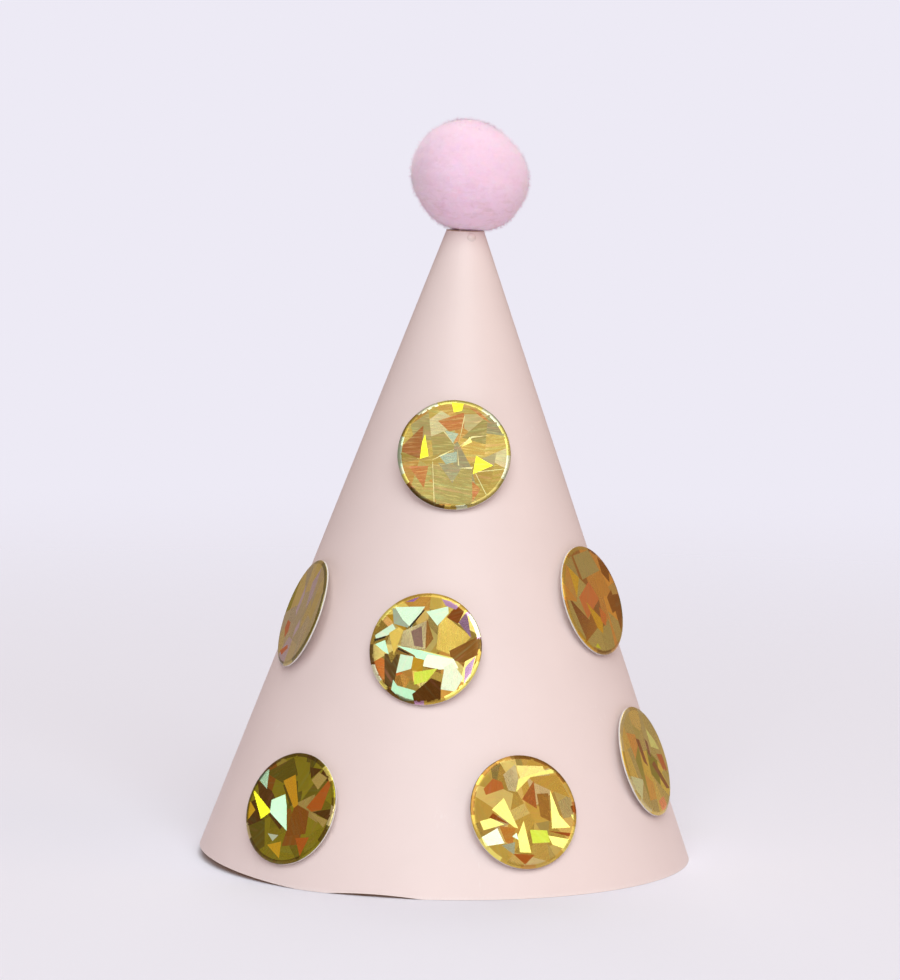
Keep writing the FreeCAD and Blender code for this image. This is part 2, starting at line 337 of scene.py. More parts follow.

# How each disc catches the light: its strength and that of its bright shards, the seed and number of
# its cracks, how many run down the side, the strength of its streaks and which way they lie, its tones
# with their shares, the tones of its rolled edge, arcs of that edge in degrees, and shards listed
# as a tone and corners, to the right and down in hundredths of the radius.
# gain and bright are painted light: a disc's tones are scaled down where it mirrors the key light and up
# where it faces dim surroundings
# the rim tones and arcs of each disc are painted highlights and dark reflections on its rolled edge
foilDiscs = {
    "upper_front": {
        "paintedLightGain": 0.4, "paintedBrightGain": 0.6, "seed": 11, "lengthwise": 0.0, "streak": 0.5, "lay": (0.0, 0.2),
        "tones": {"gold": 5, "khaki": 2, "ochre": 4, "sand": 2, "greyGold": 1},
        "rim": {"paleYellow": 4, "cream": 3, "gold": 2, "brown": 1},
        "arcs": [("darkBrown", 100, 140), ("paleMint", 165, 200), ("paleGold", 28, 75),
                 ("paleYellow", 250, 300)],
        "shards": [
            ("khaki", (-42, 18), (33, 28), (31, 90), (-30, 90)), ("greyGold", (-28, 16), (16, 20), (-2, 52)),
            ("copper", (-79, 23), (-45, 22), (-52, 62)),
            ("copper", (-30, -61), (16, -77), (17, -47), (-10, -42)),
            ("copper", (25, -86), (42, -80), (66, -56), (50, -66)),
            ("copper", (-55, -52), (-58, 10), (-92, -3), (-90, -16)),
            ("greyMint", (-17, -43), (7, -38), (-3, -20)),
            ("greyMint", (-27, 2), (5, -5), (5, 14), (-14, 18)), ("copper", (33, 48), (48, 62), (34, 86)),
            ("paleYellow", (13, -14), (27, -32), (31, -23)),
            ("creaseGlint", (6, -12), (30, -33), (62, -36), (32, -31)),
            ("creaseGlint", (5, -12), (-20, -42), (-18.5, -43)), ("creaseGlint", (5.5, -12), (9.5, 20), (7.5, 20)),
            ("creaseGlint", (3, -11), (-20, 2), (-42, 13), (-20, 0)),
            ("creaseGlint", (-38, 14), (-37, 14), (-32, 95), (-33.5, 95)),
            ("creaseGlint", (36, 30), (37, 30), (62, 78), (60.7, 78.5)),
            ("creaseGlint", (40, 31), (92, 24), (92, 25), (40, 32)), ("creaseGlint", (8, 25), (34, 22), (32, 26)),
            ("creaseGlint", (16, -70), (18, -70), (8, -20)),
            ("yellow", (-6, -95), (15, -93), (12, -80), (-2, -77)),
            ("yellow", (-52, -36), (-45, 4), (-60, 9), (-57, -20)), ("yellow", (39, 2), (69, 19), (34, 35)),
        ],
    },
    "middle_front": {
        "paintedLightGain": 0.73, "paintedBrightGain": 0.4, "seed": 23, "cracks": 34, "streak": 0.12,
        "tones": {"gold": 6, "amber": 1, "ochre": 3, "paleGold": 3, "rust": 1},
        "rim": {"gold": 3, "cream": 3, "paleYellow": 2, "darkBrown": 2, "lilac": 1},
        "arcs": [("darkBrown", 160, 182), ("gold", 250, 300), ("cream", 318, 345), ("darkBrown", 96, 130)],
        "shards": [
            ("gold", (20, -42), (30, -60), (80, -25), (50, 10), (20, 0)),
            ("greyMint", (-65, -70), (-30, -62), (-34, -36), (-60, -42)),
            ("sand", (-42, -30), (-2, -50), (0, 2), (-45, 0)),
            ("rose", (-28, -30), (-10, -40), (-4, -2), (-20, -4)),
            ("paleMint", (-61, -72), (-7, -75), (-29, -36), (-45, -50)),
            ("paleMint", (-4, -66), (34, -77), (36, -65), (18, -42)),
            ("paleMint", (-92, -20), (-62, -42), (-54, -30), (-88, -10)),
            ("mint", (-90, -4), (-73, -12), (-64, 13), (-74, 8)),
            ("gold", (-67, -25), (-51, -37), (-42, -31), (-55, 14)), ("brown", (-2, -54), (13, -18), (0, 2)),
            ("brown", (43, 2), (95, -28), (97, 5), (69, 22), (48, 18)),
            ("paleYellow", (-10, 2), (50, 14), (50, 24), (-10, 14)),
            ("mint", (-51, -3), (-10, 3), (48, 16), (30, 34), (-5, 30), (-19, 12)),
            ("cream", (5, 10), (52, 16), (62, 32), (30, 36), (-4, 31)),
            ("amber", (-22, 16), (0, 20), (-2, 42), (-20, 40)),
            ("paleMint", (-43, 12), (-20, 15), (-22, 37), (-48, 46)),
            ("darkBrown", (-72, 12), (-66, 12), (-58, 28), (-50, 12), (-45, 13), (-50, 70), (-66, 72)),
            ("mint", (-52, 58), (-44, 68), (8, 80), (12, 92), (-30, 95), (-54, 76)),
            ("brown", (-16, 82), (15, 52), (33, 58), (36, 95), (-10, 99)),
            ("lime", (-16, 43), (25, 34), (8, 58), (-14, 65)),
            ("cream", (37, 31), (51, 23), (72, 49), (60, 74), (34, 71)),
            ("lilac", (21, -90), (56, -82), (48, -72), (30, -78)), ("lilac", (55, -49), (68, -70), (80, -22)),
            ("lilac", (74, 30), (90, 10), (84, 46), (74, 60)), ("violet", (-42, -82), (-18, -93), (-28, -83)),
            ("ink", (-30, -36), (-32, -39), (-9, -70), (-7, -68)),
            ("ink", (-94, -8), (-95, -12), (-72, -20), (-73, -16)),
            ("ink", (-49, 0), (-49, 4), (-28, 12), (-28, 10)),
        ],
    },
    "lower_left": {
        "paintedLightGain": 1.75, "paintedBrightGain": 1.0, "seed": 37, "cracks": 38, "streak": 0.1,
        "tones": {"olive": 7, "darkOlive": 4, "darkBrown": 1, "brown": 1, "khaki": 1},
        "rim": {"darkOlive": 3, "darkBrown": 3, "sand": 1, "olive": 2},
        "arcs": [("darkBrown", 225, 300), ("paleYellow", 303, 322), ("sand", 350, 372), ("ink", 200, 216)],
        "shards": [
            ("darkOlive", (-75, -55), (-20, -90), (0, -60), (-30, -42)),
            ("darkBrown", (-90, -40), (-50, -25), (0, 25), (-10, 40), (-70, 0)),
            ("brown", (10, -10), (45, 0), (50, 40), (5, 50)),
            ("olive", (-10, -85), (20, -85), (30, -40), (10, -30)),
            ("darkBrown", (23, -77), (51, -77), (31, -57)),
            ("khaki", (33, -55), (45, -71), (67, -63), (53, -40)),
            ("darkBrown", (53, 0), (100, -12), (92, 10)),
            ("rust", (74, -63), (80, -60), (72, -6), (51, 0), (37, -6)),
            ("amber", (-30, -46), (-6, -60), (17, -9), (9, -1)), ("khaki", (50, 2), (92, 10), (86, 24)),
            ("rust", (30, 50), (60, 45), (50, 80)), ("amber", (-98, -5), (-77, 13), (-92, 38)),
            ("amber", (-30, 70), (0, 60), (5, 90)),
            ("paleYellow", (56, -84), (62, -82), (84, -56), (80, -60)),
            ("greyMint", (-35, 50), (-10, 50), (-20, 62)), ("yellow", (-97, -25), (-40, 11), (-59, 27)),
            ("mint", (-91, -44), (-69, -63), (-63, -27)),
            ("mint", (-46, -9), (-18, -23), (-8, -3), (6, 40), (-42, 13)),
        ],
    },
    "lower_front": {
        "paintedLightGain": 1.02, "paintedBrightGain": 0.55, "seed": 41, "cracks": 40, "streak": 0.15,
        "tones": {"gold": 4, "paleGold": 5, "khaki": 2, "sand": 1},
        "rim": {"brown": 2, "gold": 5, "paleYellow": 1, "ochre": 2},
        "arcs": [("brown", 262, 330), ("rust", 352, 366)],
        "shards": [
            ("gold", (15, -60), (70, -62), (90, -20), (55, -35), (25, -50)),
            ("paleGold", (-4, -82), (45, -78), (50, -68), (0, -58)),
            ("sand", (-31, -67), (-6, -84), (-3, -58), (-12, -36), (-25, -39)),
            ("paleYellow", (-3, -58), (62, -73), (74, -66), (20, -60), (-11, -35)),
            ("copper", (-71, -44), (-51, -61), (-35, -54), (-33, -42), (-68, -33)),
            ("copper", (25, -53), (25, -4), (-1, -22)), ("ochre", (28, -30), (50, -30), (48, 20), (30, 10)),
            ("paleYellow", (-60, -7), (-35, -26), (-15, 28), (-22, 26)),
            ("rust", (-67, 7), (-59, -1), (-31, 20)),
            ("paleYellow", (-85, 12), (-64, 8), (-40, 20), (-80, 28)),
            ("ochre", (-50, 22), (-20, 28), (-30, 60), (-42, 50)),
            ("cream", (-85, 40), (-54, 26), (-44, 53), (-80, 56)),
            ("paleMint", (-28, 42), (-19, 36), (-17, 48)), ("greyMint", (-50, 56), (-24, 52), (-28, 74)),
            ("paleYellow", (-17, 41), (-3, 16), (4, 72), (-17, 70)),
            ("lime", (7, 32), (39, 35), (42, 56), (9, 56)),
            ("paleYellow", (54, -35), (66, 10), (84, 32), (49, 32)), ("rust", (41, 36), (92, 43), (86, 50)),
            ("paleYellow", (40, 44), (84, 54), (70, 70), (46, 60)),
            ("brown", (89, -5), (99, -7), (98, 7), (92, 6)), ("paleYellow", (88, 10), (97, 10), (95, 30)),
            ("rust", (-30, 72), (10, 76), (-10, 92)),
        ],
    },
    "middle_left": {
        "paintedLightGain": 2.0, "paintedBrightGain": 1.0, "seed": 53, "cracks": 24, "lengthwise": 0.4, "streak": 0.5,
        "tones": {"greyGold": 6, "khaki": 3, "mauve": 1, "olive": 1},
        "rim": {"darkOlive": 3, "olive": 3, "khaki": 2},
        "arcs": [("darkOlive", -70, 60), ("sand", 215, 250)],
        "shards": [
            ("mauve", (-32, -50), (-20, -30), (-24, 10), (-36, 0)),
            ("mauve", (10, 10), (20, 25), (5, 50), (0, 30)),
            ("khaki", (30, -30), (50, -10), (30, 30), (20, 10)),
            ("coral", (-60, 22), (-40, 24), (-34, 42), (-42, 54), (-60, 38)),
            ("coral", (-40, 78), (-8, 62), (0, 68), (-22, 84)),
        ],
    },
    "middle_right": {
        "paintedLightGain": 1.75, "seed": 61, "cracks": 24, "lengthwise": 0.3,
        "tones": {"ochre": 6, "brown": 2, "olive": 1, "khaki": 2, "amber": 1},
        "rim": {"ochre": 3, "gold": 3, "olive": 2, "brown": 1},
        "arcs": [("gold", 190, 240), ("amber", 120, 150)],
        "shards": [
            ("khaki", (-30, -85), (30, -90), (50, -50), (-20, -40)),
            ("brown", (55, -75), (85, -50), (75, -25), (55, -45)),
            ("brown", (50, 0), (72, -12), (75, 25), (55, 30)),
            ("copper", (-50, -10), (0, -35), (20, 0), (-40, 30)),
            ("amber", (-30, 0), (12, 38), (0, 62), (-14, 50)),
            ("copper", (12, 14), (30, 30), (18, 50), (6, 40)), ("lime", (-40, 82), (-30, 76), (-22, 88)),
        ],
    },
    "lower_right": {
        "paintedLightGain": 1.9, "seed": 71, "cracks": 24, "lengthwise": 0.4, "streak": 0.4,
        "tones": {"khaki": 5, "gold": 5, "sand": 1, "olive": 1, "ochre": 1},
        "rim": {"gold": 4, "sand": 2, "khaki": 2},
        "arcs": [("sand", 200, 250)],
        "shards": [
            ("brown", (-20, -45), (-5, -40), (0, 10), (-14, 0)),
            ("brown", (20, -40), (30, -30), (28, 0), (18, -10)),
            ("rust", (55, -5), (80, 0), (84, 30), (66, 30)),
            ("paleGold", (40, -55), (65, -30), (75, -10), (40, -20)),
            ("brown", (20, 10), (35, 5), (70, 62), (55, 60)),
            ("copper", (0, 75), (30, 70), (35, 90), (5, 94)),
            ("khaki", (55, 30), (72, 25), (82, 50), (66, 55)),
        ],
    },
    "upper_back": {
        "seed": 83, "streak": 0.5,
        "tones": {"gold": 4, "khaki": 3, "ochre": 2, "amber": 1, "mint": 1, "brown": 1},
        "rim": {"paleYellow": 3, "gold": 3, "brown": 1},
        "shards": [("yellow", (20, -30), (50, -10), (30, 20)), ("mint", (-60, 10), (-30, 0), (-20, 40))],
    },
    "middle_back_right": {
        "seed": 97,
        "tones": {"gold": 4, "amber": 3, "brown": 2, "mint": 1, "cream": 1, "rust": 1},
        "rim": {"gold": 3, "cream": 2, "darkBrown": 1},
        "shards": [
            ("mint", (-30, -50), (10, -60), (0, -10), (-20, -20)), ("lilac", (40, 10), (70, 20), (50, 50)),
            ("yellow", (-50, 20), (-20, 30), (-40, 60)),
        ],
    },
    "middle_back_left": {
        "seed": 101, "streak": 0.4,
        "tones": {"olive": 3, "gold": 3, "khaki": 2, "brown": 2, "paleYellow": 1},
        "rim": {"gold": 3, "paleYellow": 2, "darkOlive": 1},
        "shards": [("lime", (10, 20), (40, 10), (30, 50)), ("coral", (-50, -40), (-20, -60), (-20, -20))],
    },
    "lower_back_right": {
        "seed": 113, "streak": 0.35,
        "tones": {"gold": 4, "paleGold": 3, "ochre": 2, "brown": 1, "greyMint": 1},
        "rim": {"gold": 3, "paleYellow": 2, "brown": 1},
        "shards": [("cream", (-20, -60), (20, -50), (0, -20)), ("yellow", (30, 30), (60, 20), (50, 60))],
    },
    "lower_back": {
        "seed": 127,
        "tones": {"amber": 3, "gold": 4, "rust": 2, "olive": 1, "mint": 1, "lilac": 1},
        "rim": {"gold": 3, "cream": 2, "rust": 1},
        "shards": [
            ("mint", (20, -50), (60, -40), (30, 0)),
            ("paleYellow", (-60, 0), (-20, -10), (-10, 50), (-30, 40)),
        ],
    },
    "lower_back_left": {
        "seed": 131, "lengthwise": 0.2, "streak": 0.4,
        "tones": {"khaki": 3, "gold": 3, "darkOlive": 2, "ochre": 2, "mint": 1},
        "rim": {"gold": 3, "sand": 2, "darkOlive": 1},
        "shards": [("coral", (-30, 30), (0, 20), (-10, 60)), ("yellow", (20, -60), (50, -50), (30, -30))],
    },
}


def discAxes(name):
    # the disc's middle on its flat face, radius, and directions to the right, down and outwards
    points = pointsOf(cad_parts["foil_" + name].data)
    rough = points.mean(axis=0)
    outward = np.linalg.eigh(np.cov((points - rough).T))[1][:, 0]    # the way it is thinnest
    if outward @ np.array([rough[0], rough[1], 0.0]) < 0:
        outward = -outward
    down = np.array([0.0, 0.0, -1.0])
    down = down - (down @ outward) * outward
    down /= np.linalg.norm(down)
    right = np.cross(outward, down)
    spans = [(points @ axis).min() + (points @ axis).max() for axis in (right, down)]
    middle = right * spans[0] / 2 + down * spans[1] / 2 + outward * (points @ outward).max()
    radius = ((points @ right).max() - (points @ right).min()) / 2
    return Vector(middle), radius, Vector(right), Vector(down), Vector(outward)


def splitFaces(mesh, faces, point, across):
    around = list(faces)
    edges = {edge for face in around for edge in face.edges}
    corners = {corner for face in around for corner in face.verts}
    bmesh.ops.bisect_plane(mesh, geom=around + list(edges) + list(corners), dist=1e-5,
                           plane_co=point, plane_no=across)


def crackFoil(mesh, shardOf, look, dice):
    # split the largest shard again and again, mostly across its length
    newest = 0
    for turn in range(look["cracks"]):
        sizes = {}
        for face in mesh.faces:
            sizes[face[shardOf]] = sizes.get(face[shardOf], 0) + face.calc_area()
        ranked = sorted(sizes, key=sizes.get, reverse=True)
        chosen = ranked[0]
        if dice.random() >= cracking["largest"]:
            chosen = ranked[min(dice.randrange(cracking["among"]), len(ranked) - 1)]
        faces = [face for face in mesh.faces if face[shardOf] == chosen]
        weights = [face.calc_area() for face in faces]
        centres = [face.calc_center_median() for face in faces]
        total = sum(weights)
        middle = sum((c * w for c, w in zip(centres, weights)), Vector()) / total
        sxx = sum(w * (c.x - middle.x) ** 2 for c, w in zip(centres, weights))
        syy = sum(w * (c.y - middle.y) ** 2 for c, w in zip(centres, weights))
        sxy = sum(w * (c.x - middle.x) * (c.y - middle.y) for c, w in zip(centres, weights))
        longWay = 0.5 * math.atan2(2 * sxy, sxx - syy)
        angle = longWay + dice.uniform(-cracking["askew"], cracking["askew"])
        if dice.random() < look["lengthwise"]:
            angle = dice.uniform(-cracking["upright"], cracking["upright"])
        middle.x += dice.uniform(-cracking["offMiddle"], cracking["offMiddle"])
        middle.y += dice.uniform(-cracking["offMiddle"], cracking["offMiddle"])
        across = Vector((math.cos(angle), math.sin(angle), 0))
        splitFaces(mesh, faces, middle, across)
        newest += 1
        for face in mesh.faces:
            if face[shardOf] == chosen and (face.calc_center_median() - middle).dot(across) > 0:
                face[shardOf] = newest
    return newest


def carveShard(mesh, shardOf, insideOf, corners, number):
    # give the faces inside an outline a number of their own, one triangle of it at a time
    outline = [Vector((x / 100, y / 100, 0)) for x, y in corners]
    for places in geometry.tessellate_polygon([outline]):
        trio = [outline[place] for place in places]
        middle = sum(trio, Vector()) / 3
        for face in mesh.faces:
            face[insideOf] = 1
        for start, stop in zip(trio, trio[1:] + trio[:1]):
            run = stop - start
            across = Vector((run.y, -run.x, 0)).normalized()
            if (middle - start).dot(across) < 0:
                across = -across
            splitFaces(mesh, [face for face in mesh.faces if face[insideOf]], start, across)
            for face in mesh.faces:
                if face[insideOf] and (face.calc_center_median() - start).dot(across) < 0:
                    face[insideOf] = 0
        for face in mesh.faces:
            if face[insideOf]:
                face[shardOf] = number


def flatFoil():
    # the film over one disc, with a unit radius and its heights still to come
    mesh = bmesh.new()
    rings = []
    for share, fall in foilShape["rings"]:
        ring = []
        for step in range(foilShape["segments"]):
            angle = 2 * math.pi * step / foilShape["segments"]
            reach = share if len(rings) < len(foilShape["rings"]) - 1 else 1 + foilShape["tuck"]
            ring.append(mesh.verts.new((reach * math.cos(angle), reach * math.sin(angle), 0)))
        rings.append(ring)
    mesh.faces.new(rings[0])
    for inner, outer in zip(rings, rings[1:]):
        for step in range(foilShape["segments"]):
            after = (step + 1) % foilShape["segments"]
            mesh.faces.new((inner[step], outer[step], outer[after], inner[after]))
    return mesh


def foilHeight(share):
    # how far the film has fallen at this share of the radius, and the share it really has there
    rings = foilShape["rings"]
    if share > 1.0:
        part = min((share - 1.0) / foilShape["tuck"], 1.0)
        return rings[-2][1] + part * (rings[-1][1] - rings[-2][1]), 1.0 + part * (rings[-1][0] - 1.0)
    for (inner, innerFall), (outer, outerFall) in zip(rings, rings[1:-1]):
        if share <= outer:
            part = max((share - inner) / (outer - inner), 0.0)
            return innerFall + part * (outerFall - innerFall), share
    return rings[-2][1], share


def pick(dice, choices):
    return dice.choices(list(choices), list(choices.values()))[0]


def paintedGainOf(look, shade):
    # painted light: the brightest tones keep their strength on a disc whose painted light is duller
    # crease lines are painted glints, a little brighter than their disc
    if shade == "creaseGlint":
        return look["paintedLightGain"] * foilShape["creaseGlintGain"]
    return look["paintedBrightGain"] if shade in brightTones else look["paintedLightGain"]


def mixTone(first, second, share):
    return tuple(a + (b - a) * share for a, b in zip(first, second))


def rimReflectionArcs(look, dice):
    # the rolled edge round the disc in arcs of its rim tones, then those listed for it
    # painted highlights and dark reflections, arc by arc
    arcs = []
    at = dice.uniform(0, 30)
    while at < 390:
        width = dice.uniform(9, 34)
        arcs.append((at, at + width, pick(dice, look["rim"])))
        at += width
    return arcs + [(start, stop, shade) for shade, start, stop in look["arcs"]]


def rimReflectionToneAt(arcs, angle):
    # the arc laid last is the one that shows
    for start, stop, shade in reversed(arcs):
        if any(start <= angle + turn < stop for turn in (-360, 0, 360)):
            return foilTones[shade]


def shardTraits(look, dice, styles, catching):
    # how each shard's streaks run, its lean, its roughness, the sweep of its tones and its painted light
    # strength
    traits = {}
    middleTurn, spread = look["lay"]
    for number, (shade, other, share) in styles.items():
        lean = Vector((dice.gauss(0, 0.05), dice.gauss(0, 0.05), 0))
        if shade in brightTones:
            lean = lean * 0.3 + catching * 0.75
        turn = middleTurn + dice.uniform(-spread, spread)
        offset = dice.uniform(0, 60)
        rough = dice.uniform(0.2, 0.36)
        sweep = dice.uniform(0, 2 * math.pi)
        paintedLightGain = dice.uniform(0.93, 1.07) * paintedGainOf(look, shade)
        traits[number] = (turn, offset, lean, rough, sweep, paintedLightGain)
    return traits


def buildFoil(name, look):
    dice = random.Random(look["seed"])
    middle, radius, right, down, outward = discAxes(name)
    mesh = flatFoil()
    shardOf = mesh.faces.layers.int.new("shard")
    insideOf = mesh.faces.layers.int.new("inside")
    base = crackFoil(mesh, shardOf, look, dice)
    styles = {}
    for number in range(base + 1):
        styles[number] = (pick(dice, look["tones"]), pick(dice, look["tones"]), dice.uniform(0.0, 0.55))
    for number, (shade, *corners) in enumerate(look["shards"], base + 1):
        carveShard(mesh, shardOf, insideOf, corners, number)
        styles[number] = (shade, shade, 0.0)

    arcs = rimReflectionArcs(look, dice)
    toLight = foilShape["catches"] - outward
    traits = shardTraits(look, dice, styles, Vector((toLight.dot(right), toLight.dot(down), 0)))
    mesh.faces.layers.int.remove(insideOf)
    tint = mesh.loops.layers.float_color.new("shardTint")
    feel = mesh.loops.layers.float_color.new("shardFeel")
    streak = mesh.loops.layers.uv.new("streak")
    shardOf = mesh.faces.layers.int["shard"]
    for face in mesh.faces:
        first, second, share = styles[face[shardOf]]
        turn, offset, lean, rough, sweep, paintedLightGain = traits[face[shardOf]]
        centre = face.calc_center_median()
        onRim = centre.length > foilShape["rimFrom"]
        # the rolled edge takes the painted highlight or dark reflection of its arc
        if onRim:
            rimHighlightGain = min(paintedLightGain * foilShape["rimHighlightGain"], foilShape["rimMost"])
            rimReflectionTone = rimReflectionToneAt(arcs, math.degrees(math.atan2(centre.y, centre.x)) % 360)
            rimReflectionTone = tuple(c * rimHighlightGain for c in rimReflectionTone)
        for loop in face.loops:
            spot = loop.vert.co
            along = spot.x * math.cos(sweep) + spot.y * math.sin(sweep)
            colour = mixTone(foilTones[first], foilTones[second], share * min(max(along + 0.5, 0), 1))
            # painted light: the tone is scaled by its disc's gain
            colour = tuple(min(c * paintedLightGain, 1.0) for c in colour[:3]) + (1.0,)
            if onRim:
                colour = mixTone(colour, rimReflectionTone, foilShape["rimShare"])
            loop[tint] = colour
            loop[feel] = (0.0 if onRim else look["streak"], rough, 0.0, 1.0)
            x, y = spot.x * radius / mm, spot.y * radius / mm
            loop[streak].uv = (x * math.cos(turn) + y * math.sin(turn) + offset,
                               -x * math.sin(turn) + y * math.cos(turn) + offset * 0.7)

    # lay it on the disc
    for vert in mesh.verts:
        share = math.hypot(vert.co.x, vert.co.y)
        angle = math.atan2(vert.co.y, vert.co.x)
        fall, reach = foilHeight(share)
        flatness = 1.0 - ramp(share, foilShape["flatTo"], foilShape["fade"])
        ripple = noise.noise(Vector((vert.co.x * 2.6, vert.co.y * 2.6, look["seed"]))) * foilShape["ripple"]
        rimward = ramp(share, foilShape["rollFrom"], foilShape["fade"])
        wobble = noise.noise(Vector((math.cos(angle) * 3, math.sin(angle) * 3, look["seed"] + 9)))
        spread = reach * radius + wobble * foilShape["wobble"] * mm * rimward
        side = right * math.cos(angle) * spread + down * math.sin(angle) * spread
        rise = foilShape["lift"] + ripple * flatness - fall
        vert.co = middle + side + outward * rise * mm
    for face in mesh.faces:
        face.smooth = True
    mesh.normal_update()
    facing = sum(face.normal.dot(outward) * face.calc_area() for face in mesh.faces)
    if facing < 0:
        bmesh.ops.reverse_faces(mesh, faces=mesh.faces)
    piece = addMesh("film_" + name, mesh)
    # each shard leans its own way
    leans = piece.data.attributes.new("shardLean", "FLOAT_VECTOR", "FACE")
    numbers = piece.data.attributes["shard"].data
    for index in range(len(piece.data.polygons)):
        lean = traits[numbers[index].value][2]
        leans.data[index].vector = right * lean.x + down * lean.y
    return piece


def makeFoilMaterial():
    material, tree, shader, position = newMaterial("crackedIceFoil", {
        "Metallic": 0.75, "IOR": 1.5, "Specular IOR Level": 0.25,
        "Coat Weight": 0.06, "Coat Roughness": 0.12})
    colour = put(tree, "Attribute", attribute_name="shardTint").outputs["Color"]
    feel = put(tree, "Attribute", attribute_name="shardFeel").outputs["Color"]
    feel = put(tree, "SeparateColor", {0: feel}).outputs
    lay = put(tree, "UVMap", uv_map="streak").outputs["UV"]
    drawn = put(tree, "Mapping", {"Vector": lay, "Scale": (0.28, 3.4, 1.0)}).outputs[0]
    hair = put(tree, "Mapping", {"Vector": lay, "Scale": (0.9, 12.0, 1.0)}).outputs[0]
    broad = noiseOf(tree, drawn, 1.0, 4.0, 0.62, noise_dimensions="2D")
    fine = noiseOf(tree, hair, 1.0, 2.0, noise_dimensions="2D")
    drift = noiseOf(tree, drawn, 0.35, 1.0, noise_dimensions="2D")
    # streaks of light and of dark, and a drift of hue along them
    light = times(tree, stretch(tree, broad, 0.52, 0.72), feel[0])
    dark = times(tree, stretch(tree, broad, 0.46, 0.3), feel[0])
    green = stretch(tree, drift, 0.55, 0.8, 0.0, 0.07)
    red = stretch(tree, drift, 0.42, 0.2, 0.0, 0.12)
    colour = blendColour(tree, times(tree, light, 0.4), colour, tone(226, 200, 126))
    colour = blendColour(tree, times(tree, dark, 0.5), colour, tone(150, 112, 60))
    colour = blendColour(tree, green, colour, tone(150, 210, 150))
    colour = blendColour(tree, red, colour, tone(214, 140, 120))
    grit = put(tree, "TexVoronoi", {"Vector": position, "Scale": 5200.0}).outputs["Color"]
    colour = blendColour(tree, 0.05, colour, grit, "OVERLAY")

    marks = useGroup(tree, smudges, {"Position": position, "Size": 5.0, "Amount": 0.5})
    rough = plus(tree, feel[1], times(tree, marks["Mask"], 0.1))
    rough = plus(tree, rough, stretch(tree, fine, 0.3, 0.7, -0.04, 0.06))
    lean = put(tree, "Attribute", attribute_name="shardLean").outputs["Vector"]
    facing = put(tree, "NewGeometry").outputs["Normal"]
    leaned = vectorOf(tree, "NORMALIZE", vectorOf(tree, "ADD", facing, lean))
    bump = bumpOf(tree, fine, 0.008 * mm, 0.5, Normal=leaned)
    feed(tree, shader, {"Base Color": colour, "Roughness": rough, "Normal": bump})
    return material


foilMaterial = makeFoilMaterial()
for name, look in foilDiscs.items():
    piece = buildFoil(name, {**plainDisc, **look})
    piece.data.materials.append(foilMaterial)
    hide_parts("foil_" + name)
    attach(piece, "root")
print("foil discs finished")


# the pompom is a lumpy, matted core under short loose fibres
pompomShape = {
    "radius": 12.75 * mm,        # of the matted core, under the fibres
    "packedRadius": 13.0 * mm,
    "longWay": (0.80, 0.15, -0.58),
    "longer": 0.055,
    # way, how deep, how narrow: a little flat at the upper right, full at the lower right
    "dents": [((0.68, -0.1, 0.72), 0.4 * mm, 4.0), ((-0.8, -0.1, -0.6), 0.3 * mm, 7.0),
              ((0.98, -0.2, 0.05), -0.45 * mm, 6.0)],
    "lumps": [(150.0, 0.24 * mm), (420.0, 0.13 * mm), (1100.0, 0.07 * mm)],
    "ridges": 0.2 * mm,          # level matted ridges round the lower half
    "press": 0.9 * mm,           # how softly its underside rounds into the flat seat
    "sink": 1.0 * mm,            # how far the seat lies below the top of the glue
    "tones": {"Pale": (1.0, 0.71, 0.89, 1), "Deep": (0.86, 0.58, 0.70, 1)},
}
pileShape = {
    "strands": 7000, "pieces": 2, "seed": 7,
    "length": (1.1 * mm, 2.4 * mm), "width": (0.05 * mm, 0.1 * mm),
    "rise": (0.015 * mm, 0.06 * mm), "loose": 0.65, "looseRise": (0.25 * mm, 0.85 * mm),
    "looseWidth": 0.6,
    "tones": {"Pale": (1.0, 0.72, 0.90, 1), "Deep": (0.93, 0.63, 0.75, 1)},
}


def pompomPoint(way, middle, seat):
    # a point on the surface of the core, this way out from its middle
    longWay = Vector(pompomShape["longWay"]).normalized()
    radius = pompomShape["radius"] * (1 + pompomShape["longer"] * (way.dot(longWay) ** 2 - 0.42))
    for frequency, height in pompomShape["lumps"]:
        radius += height * noise.noise(way * pompomShape["radius"] * frequency + Vector((3.1, 7.7, 1.9)))
    level = Vector((way.x * 2.6, way.y * 2.6, way.z * 9.0))
    ridge = noise.noise(level + Vector((5.0, 2.0, 8.0)))
    radius += pompomShape["ridges"] * min(max(0.4 - way.z, 0.0), 1.0) * ridge
    for side, depth, narrow in pompomShape["dents"]:
        radius -= depth * math.exp((way.dot(Vector(side).normalized()) - 1) * narrow)
    point = middle + way * radius
    # press the underside flat onto the tip
    over = (point.z - seat) / pompomShape["press"]
    if over < 8:
        point.z = seat + pompomShape["press"] * math.log1p(math.exp(over))
    return point


def buildPompomCore():
    low, high = (Vector(corner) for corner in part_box("pompom"))
    middle = (low + high) / 2
    middle.z = high.z - pompomShape["packedRadius"]
    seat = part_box("tip_glue")[1][2] - pompomShape["sink"]
    mesh = bmesh.new()
    bmesh.ops.create_icosphere(mesh, subdivisions=6, radius=1.0)
    for vert in mesh.verts:
        vert.co = pompomPoint(vert.co.normalized(), middle, seat)
    for face in mesh.faces:
        face.smooth = True
    return addMesh("pompomCore", mesh), middle


